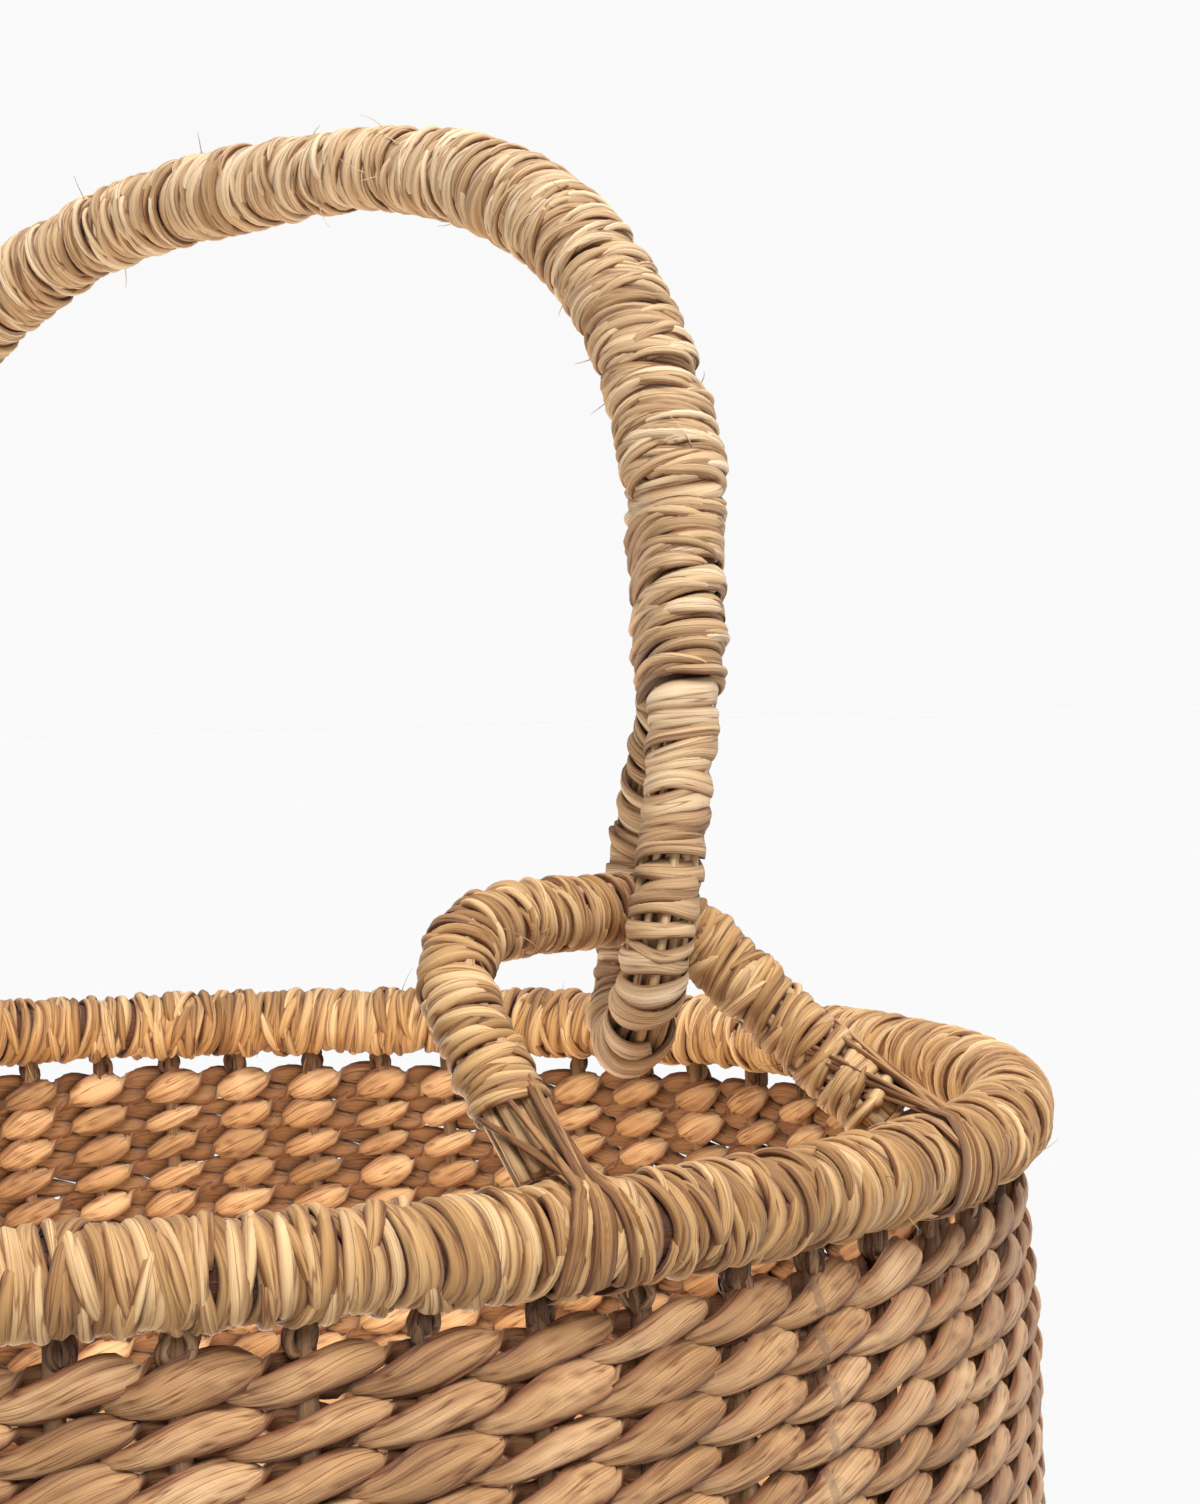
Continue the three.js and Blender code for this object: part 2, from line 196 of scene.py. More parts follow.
def make_camera():
    """A long lens just above the rim, looking across it and very slightly down."""
    data = bpy.data.cameras.new("camera")
    data.lens = CAMERA_LENS
    data.sensor_width = 36
    data.clip_start = 0.01
    data.clip_end = 50
    camera = bpy.data.objects.new("camera", data)
    bpy.context.scene.collection.objects.link(camera)
    tilt = math.pi / 2 - CAMERA_PITCH
    turn = Matrix.Rotation(CAMERA_HEADING, 4, "Z") @ Matrix.Rotation(tilt, 4, "X")
    turn = turn @ Matrix.Rotation(-CAMERA_ROLL, 4, "Z")
    camera.matrix_world = Matrix.Translation(CAMERA_PLACE) @ turn
    bpy.context.scene.camera = camera


def add_sun(name, azimuth, elevation, spread, power):
    """A very soft lamp that lights the whole floor evenly. Angles are in degrees."""
    data = bpy.data.lights.new(name, "SUN")
    data.angle = math.radians(spread)
    data.energy = power
    light = bpy.data.objects.new(name, data)
    bpy.context.scene.collection.objects.link(light)
    a, e = math.radians(azimuth), math.radians(elevation)
    direction = Vector((math.cos(a) * math.cos(e), math.sin(a) * math.cos(e), math.sin(e)))
    light.rotation_euler = direction.to_track_quat("Z", "Y").to_euler()


def add_glow():
    """Stands for the warm light that bounces between the walls inside the basket."""
    data = bpy.data.lights.new("glow", "POINT")
    data.energy = GLOW_POWER
    data.shadow_soft_size = GLOW_RADIUS
    data.color = GLOW_COLOR
    light = bpy.data.objects.new("glow", data)
    bpy.context.scene.collection.objects.link(light)
    light.location = (0, 0, GLOW_HEIGHT)
    light.visible_camera = False


def make_light():
    """A white studio: a dim even surround that looks white, and big soft lamps from above."""
    world = bpy.data.worlds.new("studio")
    bpy.context.scene.world = world
    world.use_nodes = True
    tree = world.node_tree
    background = tree.nodes["Background"]
    rays = tree.nodes.new("ShaderNodeLightPath")
    level = tree.nodes.new("ShaderNodeMapRange")
    level.inputs["To Min"].default_value = SURROUND_LIGHT
    level.inputs["To Max"].default_value = WHITE
    tree.links.new(rays.outputs["Is Camera Ray"], level.inputs["Value"])
    tree.links.new(level.outputs["Result"], background.inputs["Strength"])
    background.inputs["Color"].default_value = (1, 1, 1, 1)
    add_glow()
    add_sun("key", azimuth=-32, elevation=52, spread=35, power=3.6)
    add_sun("top", azimuth=120, elevation=70, spread=60, power=1.1)
    bpy.context.scene.view_settings.view_transform = "Standard"
    bpy.context.scene.view_settings.look = "None"


def make_floor():
    """A wide white sheet, as bright in the lamps as the surround behind it."""
    mesh = bpy.data.meshes.new("floor")
    half = FLOOR_HALF_SIZE
    corners = [(-half, -half, 0), (half, -half, 0), (half, half, 0), (-half, half, 0)]
    mesh.from_pydata(corners, [], [(0, 1, 2, 3)])
    floor = bpy.data.objects.new("floor", mesh)
    bpy.context.scene.collection.objects.link(floor)
    material = bpy.data.materials.new("floor_paper")
    material.use_nodes = True
    shader = material.node_tree.nodes["Principled BSDF"]
    shader.inputs["Base Color"].default_value = (FLOOR_WHITE, FLOOR_WHITE, FLOOR_WHITE, 1)
    shader.inputs["Roughness"].default_value = 1.0
    shader.inputs["Specular IOR Level"].default_value = 0.0
    mesh.materials.append(material)


# ---------------------------------------------------------------- grass material

STAIN_BROWN = (0.62, 0.45, 0.30, 1)
# Painted shade: the brown that darkens the folds, edges and underside of each blade
FOLD_SHADE_BROWN = (0.26, 0.125, 0.045, 1)
# Painted shade: thin dark lines that stand for the shade in the blades' creases
CREASE_SHADE_BROWN = (0.34, 0.19, 0.085, 1)
CREASE_SHADE_WIDTH = 0.032
CREASE_SHADE_STRENGTH = 0.85

# Noise steps per metre, along the blade and across it
STREAK_SCALE = (55, 1500, 1)
THREAD_SCALE = (120, 5200, 1)
CREASE_SHADE_SCALE = (30, 560, 1)
BLOTCH_SCALE = 70
GRAIN_DEPTH = 0.0004


def math_node(tree, operation, first, second=0.0):
    made = tree.nodes.new("ShaderNodeMath")
    made.operation = operation
    for socket, value in zip(made.inputs, (first, second)):
        if isinstance(value, (int, float)):
            socket.default_value = value
        else:
            tree.links.new(value, socket)
    return made.outputs[0]


def attribute_node(tree, name):
    made = tree.nodes.new("ShaderNodeAttribute")
    made.attribute_name = name
    return made


def fibre_noise(tree, scale, detail):
    """Noise drawn out along the blade."""
    mapping = tree.nodes.new("ShaderNodeMapping")
    mapping.inputs["Scale"].default_value = scale
    tree.links.new(attribute_node(tree, "fibre").outputs["Vector"], mapping.inputs["Vector"])
    noise = tree.nodes.new("ShaderNodeTexNoise")
    noise.inputs["Scale"].default_value = 1
    noise.inputs["Detail"].default_value = detail
    noise.inputs["Roughness"].default_value = 0.6
    tree.links.new(mapping.outputs["Vector"], noise.inputs["Vector"])
    return noise.outputs["Fac"]


def ramp_node(tree, value, first, last, *inner):
    """A colour ramp over value. Each stop is a position and a colour."""
    made = tree.nodes.new("ShaderNodeValToRGB")
    elements = made.color_ramp.elements
    elements[0].position, elements[0].color = first
    elements[1].position, elements[1].color = last
    for position, color in inner:
        elements.new(position).color = color
    tree.links.new(value, made.inputs["Fac"])
    return made.outputs["Color"]


def darken(tree, color, amount, brown):
    """The colour, multiplied by brown as far as amount says."""
    mix = tree.nodes.new("ShaderNodeMix")
    mix.data_type = "RGBA"
    mix.blend_type = "MULTIPLY"
    tree.links.new(amount, mix.inputs["Factor"])
    tree.links.new(color, mix.inputs["A"])
    mix.inputs["B"].default_value = brown
    return mix.outputs["Result"]


def stain_amount(tree, stain):
    """Brown stains, spread over the piece in object space."""
    place = tree.nodes.new("ShaderNodeTexCoord")
    blotch = tree.nodes.new("ShaderNodeTexNoise")
    blotch.inputs["Scale"].default_value = BLOTCH_SCALE
    blotch.inputs["Detail"].default_value = 4
    tree.links.new(place.outputs["Object"], blotch.inputs["Vector"])
    return ramp_node(tree, blotch.outputs["Fac"], (0.52, (0, 0, 0, 1)),
                     (0.75, (stain, stain, stain, 1)))


def crease_shade_amount(tree):
    """Painted shade in the creases: thin lengthwise lines, where stretched noise crosses its middle
    value.
    """
    crease_shade_noise = fibre_noise(tree, CREASE_SHADE_SCALE, 1)
    from_crease = math_node(tree, "ABSOLUTE", math_node(tree, "SUBTRACT", crease_shade_noise, 0.5))
    lines = tree.nodes.new("ShaderNodeMapRange")
    lines.inputs["From Max"].default_value = CREASE_SHADE_WIDTH
    lines.inputs["To Min"].default_value = CREASE_SHADE_STRENGTH
    lines.inputs["To Max"].default_value = 0
    tree.links.new(from_crease, lines.inputs["Value"])
    return lines.outputs["Result"]


def grass_material(name, dark, mid, pale, stain=0.35):
    """Dry grass: tone by blade, lengthwise fibres, brown stains, and painted shade on folds, edges
    and in thin crease lines.
    """
    material = bpy.data.materials.new(name)
    material.use_nodes = True
    tree = material.node_tree
    links = tree.links
    shader = tree.nodes["Principled BSDF"]

    coarse = fibre_noise(tree, STREAK_SCALE, 3)
    fine = fibre_noise(tree, THREAD_SCALE, 2)
    streaks = math_node(tree, "MULTIPLY", math_node(tree, "SUBTRACT", coarse, 0.5), 0.5)
    threads = math_node(tree, "MULTIPLY", math_node(tree, "SUBTRACT", fine, 0.5), 0.35)
    grain = math_node(tree, "ADD", streaks, threads)
    shade = math_node(tree, "ADD", attribute_node(tree, "tone").outputs["Fac"], grain)
    color = ramp_node(tree, shade, (0.05, (*dark, 1)), (0.95, (*pale, 1)), (0.5, (*mid, 1)))
    color = darken(tree, color, stain_amount(tree, stain), STAIN_BROWN)
    # Painted shade: folds, blade edges and undersides are darkened by the fold brown
    color = darken(tree, color, attribute_node(tree, "painted_shade").outputs["Fac"], FOLD_SHADE_BROWN)
    # Painted shade in thin crease lines
    color = darken(tree, color, crease_shade_amount(tree), CREASE_SHADE_BROWN)
    links.new(color, shader.inputs["Base Color"])

    rough = math_node(tree, "ADD", 0.62, math_node(tree, "MULTIPLY", streaks, 0.35))
    links.new(rough, shader.inputs["Roughness"])
    shader.inputs["Specular IOR Level"].default_value = 0.35
    shader.inputs["Sheen Weight"].default_value = 0.12
    shader.inputs["Sheen Roughness"].default_value = 0.5

    bump = tree.nodes.new("ShaderNodeBump")
    bump.inputs["Strength"].default_value = 0.7
    bump.inputs["Distance"].default_value = GRAIN_DEPTH
    links.new(math_node(tree, "ADD", coarse, math_node(tree, "MULTIPLY", fine, 0.6)),
              bump.inputs["Height"])
    links.new(bump.outputs["Normal"], shader.inputs["Normal"])
    return material


# ---------------------------------------------------------------- strands

def unit(vectors):
    return vectors / np.maximum(np.linalg.norm(vectors, axis=-1, keepdims=True), 1e-12)


def wander(rng, x, spacing, size=1.0):
    """A smooth random curve with the given spacing between its turns."""
    knots = np.arange(math.floor(x.min() / spacing) - 1, math.ceil(x.max() / spacing) + 3)
    values = rng.uniform(-size, size, len(knots))
    place = x / spacing - knots[0]
    low = np.floor(place).astype(int)
    part = place - low
    part = part * part * (3 - 2 * part)
    return values[low] * (1 - part) + values[low + 1] * part


def rotated(across, out, roll):
    cosine, sine = np.cos(roll)[:, None], np.sin(roll)[:, None]
    return across * cosine + out * sine, out * cosine - across * sine


class Strands:
    """Collects swept ribbons and rods into one mesh."""

    def __init__(self):
        self.points, self.faces = [], []
        self.tone, self.fibre, self.painted_shade = [], [], []
        self.count = 0
        self.made = 0

    def add_grid(self, grid, tone, along, around, painted_shade, closed=False):
        """grid is rings x points x 3. Rings run along the strand, points run round it."""
        rings, sides = grid.shape[:2]
        index = self.count + np.arange(rings * sides).reshape(rings, sides)
        upper = np.roll(index, -1, axis=0) if closed else index[1:]
        lower = index if closed else index[:-1]
        quads = np.stack([lower, np.roll(lower, -1, 1), np.roll(upper, -1, 1), upper], -1)
        self.faces.extend(quads.reshape(-1, 4).tolist())
        if not closed:
            self.faces.append(index[0][::-1].tolist())
            self.faces.append(index[-1].tolist())
        self.points.append(grid.reshape(-1, 3))
        self.tone.append(np.repeat(np.broadcast_to(tone, rings), sides))
        length = np.repeat(along, sides)
        width = np.broadcast_to(around, (rings, sides)).reshape(-1)
        self.fibre.append(np.stack([length, width, np.full(rings * sides, self.made * 7.3)], 1))
        self.painted_shade.append(np.broadcast_to(painted_shade, (rings, sides)).reshape(-1))
        self.count += rings * sides
        self.made += 1

    def build(self, name, material, body, replaced=()):
        mesh = bpy.data.meshes.new(name)
        mesh.from_pydata(np.concatenate(self.points), [], self.faces)
        for label, kind, field, values in (
            ("tone", "FLOAT", "value", np.concatenate(self.tone)),
            ("fibre", "FLOAT_VECTOR", "vector", np.concatenate(self.fibre)),
            ("painted_shade", "FLOAT", "value", np.concatenate(self.painted_shade)),
        ):
            attribute = mesh.attributes.new(label, kind, "POINT")
            attribute.data.foreach_set(field, values.astype(np.float32).ravel())
        mesh.shade_smooth()
        mesh.materials.append(material)
        piece = bpy.data.objects.new(name, mesh)
        bpy.context.scene.collection.objects.link(piece)
        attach(piece, body)
        if replaced:
            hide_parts(*replaced)


def outward_at(angle):
    return np.array([math.cos(angle), math.sin(angle), 0])


def arc_length(points):
    steps = np.linalg.norm(np.diff(points, axis=0), axis=1)
    return np.concatenate([[0], np.cumsum(steps)])


def add_ribbon(strands, rng, centre, out, half_width, thickness, tone, roll=0.0, folds=2.6,
               crease=0.45, roundness=2.6, closed=False):
    """A folded blade of grass along centre, with its face towards out."""
    count = len(centre)
    if closed:
        tangent = unit(np.roll(centre, -1, 0) - np.roll(centre, 1, 0))
    else:
        tangent = unit(np.gradient(centre, axis=0))
    out = unit(out - (out * tangent).sum(1, keepdims=True) * tangent)
    across = np.cross(tangent, out)
    across, out = rotated(across, out, np.broadcast_to(roll, count))
    along = arc_length(centre)
    half_width = np.broadcast_to(half_width, count)
    thickness = np.broadcast_to(thickness, count)

    v = np.sin(np.linspace(-1, 1, TOP_POINTS) * math.pi / 2)
    if closed:
        loop = np.linspace(0, 2 * math.pi, count, endpoint=False)
        phase = rng.uniform(0, math.pi) + 0.9 * np.sin(loop * 31) + 0.7 * np.sin(loop * 53)
    else:
        phase = rng.uniform(0, math.pi) + wander(rng, along, 0.012, 1.3)
    valleys = 1 - np.abs(np.sin(math.pi / 2 * folds * v[None, :] + phase[:, None])) ** 0.8
    dome = 0.20 + 0.80 * (1 - np.abs(v) ** roundness)
    top = thickness[:, None] * (dome - crease * valleys)
    under = np.linspace(0.55, -0.55, BOTTOM_POINTS)
    side = np.concatenate([np.broadcast_to(v, (count, TOP_POINTS)),
                           np.broadcast_to(under, (count, BOTTOM_POINTS))], 1)
    height = np.concatenate([top, np.repeat(-0.45 * thickness[:, None], BOTTOM_POINTS, 1)], 1)
    grid = (centre[:, None] + (side * half_width[:, None])[..., None] * across[:, None]
            + height[..., None] * out[:, None])
    # Painted shade: crease valleys, the blade's edges and its underside are darkened where shade
    # falls between and under blades
    shadow = np.clip(valleys * 1.5 - 0.6, 0, 1) * 0.7 + np.abs(v) ** 3
    painted_shade = np.concatenate([np.clip(shadow, 0, 1), np.full((count, BOTTOM_POINTS), 0.7)], 1)
    offset = side * half_width.max()
    strands.add_grid(grid, tone, along, offset, painted_shade, closed)


def add_rod(strands, centre, radius, tone, sides=7):
    """A round strand along centre."""
    count = len(centre)
    tangent = unit(np.gradient(centre, axis=0))
    helper = UP if abs(tangent[0, 2]) < 0.9 else X_AXIS
    first = np.empty_like(centre)
    normal = unit(np.cross(tangent[0], helper))
    for i in range(count):
        normal = unit(normal - normal.dot(tangent[i]) * tangent[i])
        first[i] = normal
    second = np.cross(tangent, first)
    turn = np.linspace(0, 2 * math.pi, sides, endpoint=False)
    radius = np.broadcast_to(radius, count)
    ring = first[:, None] * np.cos(turn)[:, None] + second[:, None] * np.sin(turn)[:, None]
    grid = centre[:, None] + ring * radius[:, None, None]
    around = turn[None, :] * radius[:, None]
    strands.add_grid(grid, tone, arc_length(centre), around, 0.15)


# ---------------------------------------------------------------- paths to wind round

class Path:
    """A centreline with a frame that doesn't twist, read by distance along it."""

    def __init__(self, points, normal, closed=False):
        points = np.asarray(points, float)
        if closed:
            points = np.concatenate([points, points[:1]])
        self.closed = closed
        self.distance = arc_length(points)
        self.length = self.distance[-1]
        self.points = points
        tangent = unit(np.gradient(points, axis=0))
        if closed:
            tangent[0] = tangent[-1] = unit(points[1] - points[-2])
        normals = np.empty_like(points)
        current = normal(points[0]) if callable(normal) else np.asarray(normal, float)
        for i, t in enumerate(tangent):
            if callable(normal):
                current = normal(points[i])
            current = unit(current - current.dot(t) * t)
            normals[i] = current
        self.normal = normals
        self.side = np.cross(tangent, normals)

    def read(self, values, s):
        if self.closed:
            s = np.mod(s, self.length)
        return np.stack([np.interp(s, self.distance, values[:, k]) for k in range(3)], 1)

    def at(self, s):
        return self.read(self.points, s), self.read(self.normal, s), self.read(self.side, s)


def smooth_curve(points, count):
    """A Catmull-Rom curve through the points, at evenly spaced places."""
    p = np.asarray(points, float)
    p = np.concatenate([[2 * p[0] - p[1]], p, [2 * p[-1] - p[-2]]])
    t = np.linspace(0, len(points) - 1, 12 * len(points))
    low = np.minimum(t.astype(int), len(points) - 2)
    f = (t - low)[:, None]
    a, b, c, d = (p[low + k] for k in range(4))
    dense = 0.5 * (2 * b + (c - a) * f + (2 * a - 5 * b + 4 * c - d) * f ** 2
                   + (3 * b - a - 3 * c + d) * f ** 3)
    distance = arc_length(dense)
    even = np.linspace(0, distance[-1], count)
    return np.stack([np.interp(even, distance, dense[:, k]) for k in range(3)], 1)


def at_distance(value, s):
    """A value that may be a number or a function of distance along a path."""
    return value(s) if callable(value) else value


def round_section(path, s, theta, flat):
    """Where a winding goes at angle theta: the centre to go round, and the way out from it.

    flat is half the distance between two strands that are wound as one.
    """
    place, normal, side = path.at(s)
    cosine, sine = np.cos(theta)[:, None], np.sin(theta)[:, None]
    spacing = np.reshape(at_distance(flat, s), (-1, 1))
    shift = normal * (np.tanh(PAIR_FLATNESS * cosine) * spacing)
    return place + shift, normal * cosine + side * sine


def wind(strands, rng, path, start, end, radius, pitch, thickness, half_width=TURN_HALF_WIDTH,
         lean=0.0, bow=0.0, hand=1, flat=0.0):
    """Ribbon wound closely round a path from start to end.

    radius is the outside of the winding, as a number or a function of distance. half_width is
    in pitches. lean shifts each turn along the path on one side and back on the other, and bow
    shifts it on the side of the path's normal. The turns are uneven, so that they dive under one
    another.
    """
    turns = max(1, round((end - start) / pitch))
    turn = np.linspace(0, turns, turns * STEPS_PER_TURN + 1)
    theta = hand * 2 * math.pi * turn + rng.uniform(0, 2 * math.pi)
    s = start + (end - start) * turn / turns
    s = s + lean * np.sin(theta) + bow * np.cos(theta)
    s = s + wander(rng, turn, 0.27, TURN_CROSS * pitch)
    s = s + wander(rng, turn, 2.3, 0.5 * TURN_CROSS * pitch)
    if not path.closed:
        s = np.clip(s, start, end)
    lift = wander(rng, turn, 0.27, 0.0005) + wander(rng, turn, 2.7, 0.00025)
    middle, radial = round_section(path, s, theta, flat)
    outer = np.reshape(at_distance(radius, s), (-1, 1))
    centre = middle + radial * (outer - thickness + lift[:, None])
    width = pitch * half_width * (1 + wander(rng, turn, 0.30, 0.36) + wander(rng, turn, 3.0, 0.15))
    tilt = TURN_ROLL + wander(rng, turn, 0.40, TURN_TWIST)
    thick = thickness * (1 + wander(rng, turn, 0.5, 0.35))
    tone = 0.5 + wander(rng, turn, 1.1, TONE_SPREAD) + wander(rng, turn, 7.0, 0.12)
    add_ribbon(strands, rng, centre, radial, width, thick, tone, tilt, folds=1.3, **WOUND_LEAF)


def add_lining(strands, path, start, end, radius, flat=0.0):
    """A dark layer under a winding, painted dark as the shade that shows in the gaps between its
    turns.
    """
    s = np.linspace(start, end, max(12, int((end - start) / 0.004)))
    place, normal, side = path.at(s)
    turn = np.linspace(0, 2 * math.pi, LINING_SIDES, endpoint=False)
    outer = np.reshape(at_distance(radius, s), (-1, 1, 1)) - LINING_DEPTH
    spacing = np.reshape(at_distance(flat, s), (-1, 1, 1))
    cosine, sine = np.cos(turn)[None, :, None], np.sin(turn)[None, :, None]
    sideways = cosine * outer + np.tanh(PAIR_FLATNESS * cosine) * spacing
    grid = place[:, None] + normal[:, None] * sideways + side[:, None] * sine * outer
    around = np.broadcast_to(turn * 0.007, grid.shape[:2])
    # Painted shade: a very dark tone and nearly full fold shade, so the gaps between turns look
    # shaded
    strands.add_grid(grid, tone=0.15, along=s - start, around=around, painted_shade=0.9)


def over_wind(strands, rng, path, start, end, radius, count, thickness=0.0011, lean=0.003,
              half_width=0.0017, flat=0.0):
    """Single loose turns that cross over the winding, with both ends tucked under it."""
    for _ in range(count):
        halfway = rng.uniform(start, end)
        reach = rng.uniform(0.25, 0.55)
        turn = np.linspace(-reach / 2, reach / 2, 14)
        theta = 2 * math.pi * turn + rng.uniform(0, 2 * math.pi)
        slope = rng.uniform(-1, 1) * lean * 2
        s = np.clip(halfway + slope * turn / reach, start, end)
        middle, radial = round_section(path, s, theta, flat)
        along = np.abs(turn) / (reach / 2)
        tuck = LINING_DEPTH * along ** 3
        distance = np.broadcast_to(at_distance(radius, s), len(s)) - LOOSE_TURN_INSET - tuck
        centre = middle + radial * distance[:, None]
        width = half_width * rng.uniform(0.6, 1.15) * (1 - 0.55 * along ** 1.6)
        add_ribbon(strands, rng, centre, radial, width, thickness, rng.uniform(0.25, 0.85),
                   rng.uniform(-0.3, 0.3), folds=1.2, **WOUND_LEAF)


def add_hairs(strands, rng, path, radius, count):
    """Thin loose fibres that stand off a winding."""
    for _ in range(count):
        s = rng.uniform(0, path.length, 1)
        place, normal, side = path.at(s)
        theta = rng.uniform(0, 2 * math.pi)
        radial = normal * math.cos(theta) + side * math.sin(theta)
        drift = unit(rng.normal(size=(1, 3)))
        outer = at_distance(radius, s)
        t = np.linspace(0, 1, 6)[:, None]
        length = rng.uniform(0.25, 1) * HAIR_LENGTH
        centre = place + radial * (outer - 0.001) + t * length * unit(radial * 0.5 + drift)
        centre = centre + radial * (t - t ** 2) * length * 0.4
        taper = 1 - 0.7 * t[:, 0]
        add_rod(strands, centre, HAIR_RADIUS * taper, rng.uniform(0.4, 0.9), sides=3)


def add_bundle(strands, rng, path, start, end, radius, count, thickness):
    """A core of straight fibres that fills the radius along the path."""
    steps = max(8, int((end - start) / 0.006))
    s = np.linspace(start, end, steps)
    place, normal, side = path.at(s)
    for k in range(count):
        distance = radius * math.sqrt((k + 0.5) / count) - thickness * 0.5
        theta = k * GOLDEN_ANGLE + wander(rng, s, 0.03, 0.12)
        around = normal * np.cos(theta)[:, None] + side * np.sin(theta)[:, None]
        centre = place + around * max(distance, 0)
        add_rod(strands, centre, thickness * rng.uniform(0.8, 1.2), rng.uniform(0.35, 0.8), sides=6)


# ---------------------------------------------------------------- wall and base

def stake_radius(name):
    """How far from the middle the stakes stand, where the named course goes round them."""
    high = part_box(name)[1]
    return max(high.x, high.y) - STAKE_INSET


def leaf_shape(turn):
    """The strand's relative width: a long thin tip, a broad middle and a blunt far end."""
    u = (turn + math.pi) % (2 * math.pi) - math.pi
    reach = math.acos(-OUTER_SHARE)
    x = np.clip(u / reach, -1, 1)
    near = (1 - np.abs(x) ** 1.7) ** 0.7
    far = (1 - np.abs(x) ** 3.5) ** 0.5
    leaf = np.where(x < 0, near, far)
    inner = np.clip((np.abs(u) - reach) / (math.pi - reach), 0, 1)
    return 0.42 + 0.58 * leaf + 0.56 * np.sin(math.pi / 2 * inner) ** 0.6


def add_twining(strands, rng, radius, height, stakes, half_width, depth, rise, swing, flat=False,
                openness=0.0):
    """Two strands twined round a ring of stakes, a half turn between each stake and the next.

    The ring stands upright as one course of a wall, or lies flat as one round of a base.
    """
    count = stakes * STEPS_PER_STAKE
    q = np.arange(count) / STEPS_PER_STAKE

    def by_stake(low, high):
        values = rng.uniform(low, high, stakes + 1)
        values[-1] = values[0]
        return np.interp(q, np.arange(stakes + 1), values)

    angle = 2 * math.pi * (q + by_stake(-0.10, 0.10)) / stakes
    away = np.stack([np.cos(angle), np.sin(angle), np.zeros(count)], 1)
    for strand in range(2):
        turn = math.pi * (q + strand)
        unevenness = by_stake(-1, 1)
        sine = np.sin(turn)
        showing = (np.cos(turn) + OUTER_SHARE) / (1 + OUTER_SHARE)
        bulge = np.sign(showing) * np.abs(showing) ** 0.7 * swing * (1 + 0.15 * unevenness)
        climb = sine * rise + unevenness * rise * 0.22
        facing = np.sign(showing) * np.abs(showing) ** 0.4
        if flat:
            centre = away * (radius + climb)[:, None] + UP * (height + bulge)[:, None]
            out = UP * facing[:, None] + away * sine[:, None] * 0.4
        else:
            centre = away * (radius + bulge)[:, None] + UP * (height + climb)[:, None]
            out = away * facing[:, None] + UP * sine[:, None] * 0.4
        thin = openness * np.clip(by_stake(-0.3, 1), 0, 1)
        width = half_width * leaf_shape(turn) * (1 + 0.12 * unevenness) * (1 - thin)
        tone = 0.5 + by_stake(-0.26, 0.26)
        folds = rng.uniform(2.2, 3.6)
        add_ribbon(strands, rng, centre, out, width, depth, tone, folds=folds, crease=0.4,
                   closed=True)


def middle_height(name):
    low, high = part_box(name)
    return (low.z + high.z) / 2


def make_wall(material):
    rng = np.random.default_rng(11)
    for row, name in enumerate(COURSE_NAMES):
        strands = Strands()
        openness = OPENNESS * np.clip((row - OPEN_ROW) / (COURSE_COUNT - OPEN_ROW), 0, 1)
        add_twining(strands, rng, stake_radius(name), middle_height(name), STAKE_COUNT,
                    openness=openness, **WALL_STRAND)
        strands.build(f"twining_{name[-2:]}", material, "basket", [name])


def make_stakes(material):
    """Upright stakes, from the border of the base to the knots under the rim."""
    rng = np.random.default_rng(12)
    strands = Strands()
    heights = [middle_height(name) for name in COURSE_NAMES]
    radii = [stake_radius(name) for name in COURSE_NAMES]
    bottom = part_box("base_border")[0].z + STAKE_FOOT_LIFT
    z = np.linspace(bottom, RIM_HEIGHT - RIM_TUBE + STAKE_TOP_OVERLAP, 16)
    for k in range(STAKE_COUNT):
        away = outward_at(2 * math.pi * k / STAKE_COUNT + rng.uniform(-0.004, 0.004))
        r = np.interp(z, heights, radii) + wander(rng, z, 0.02, 0.0003)
        centre = away * r[:, None] + UP * z[:, None]
        thickness = STAKE_RADIUS * (1 + wander(rng, z, 0.03, 0.1))
        add_rod(strands, centre, thickness, rng.uniform(0.2, 0.6))
    strands.build("stakes", material, "basket", STAKE_PANELS)


def crossings_at(radius):
    """How many times a round of the base crosses over. Twining closes on an even number."""
    if radius > ALL_SPOKES_FROM:
        return STAKE_COUNT
    if radius > HALF_SPOKES_FROM:
        return STAKE_COUNT // 2
    return STAKE_COUNT // 4 - 1


def make_base(material, stake_material):
    rng = np.random.default_rng(13)
    middle = middle_height("base_weave")
    rounds = Strands()
    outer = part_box("base_weave")[1].y - BASE_PITCH / 2
    for j in range(int(outer / BASE_PITCH)):
        radius = outer - j * BASE_PITCH
        add_twining(rounds, rng, radius, middle, crossings_at(radius), flat=True, **BASE_STRAND)
    rounds.build("base_twining", material, "basket", ["base_weave"])

    border = Strands()
    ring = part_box("base_border")[1].y - BORDER_INSET
    add_twining(border, rng, ring, middle, STAKE_COUNT, flat=True, **BORDER_STRAND)
    border.build("base_border_twining", material, "basket", ["base_border"])

    spokes = Strands()
    for k in range(STAKE_COUNT):
        away = outward_at(2 * math.pi * k / STAKE_COUNT)
        inner = ALL_SPOKES_FROM
        if k % 4 == 0:
            inner = QUARTER_SPOKES_FROM
        elif k % 2 == 0:
            inner = HALF_SPOKES_FROM
        r = np.linspace(inner, ring, 12)
        centre = away * r[:, None] + UP * middle
        add_rod(spokes, centre, SPOKE_RADIUS, rng.uniform(0.2, 0.6), sides=6)
    add_hub(spokes, rng, middle)
    spokes.build("base_spokes", stake_material, "basket")


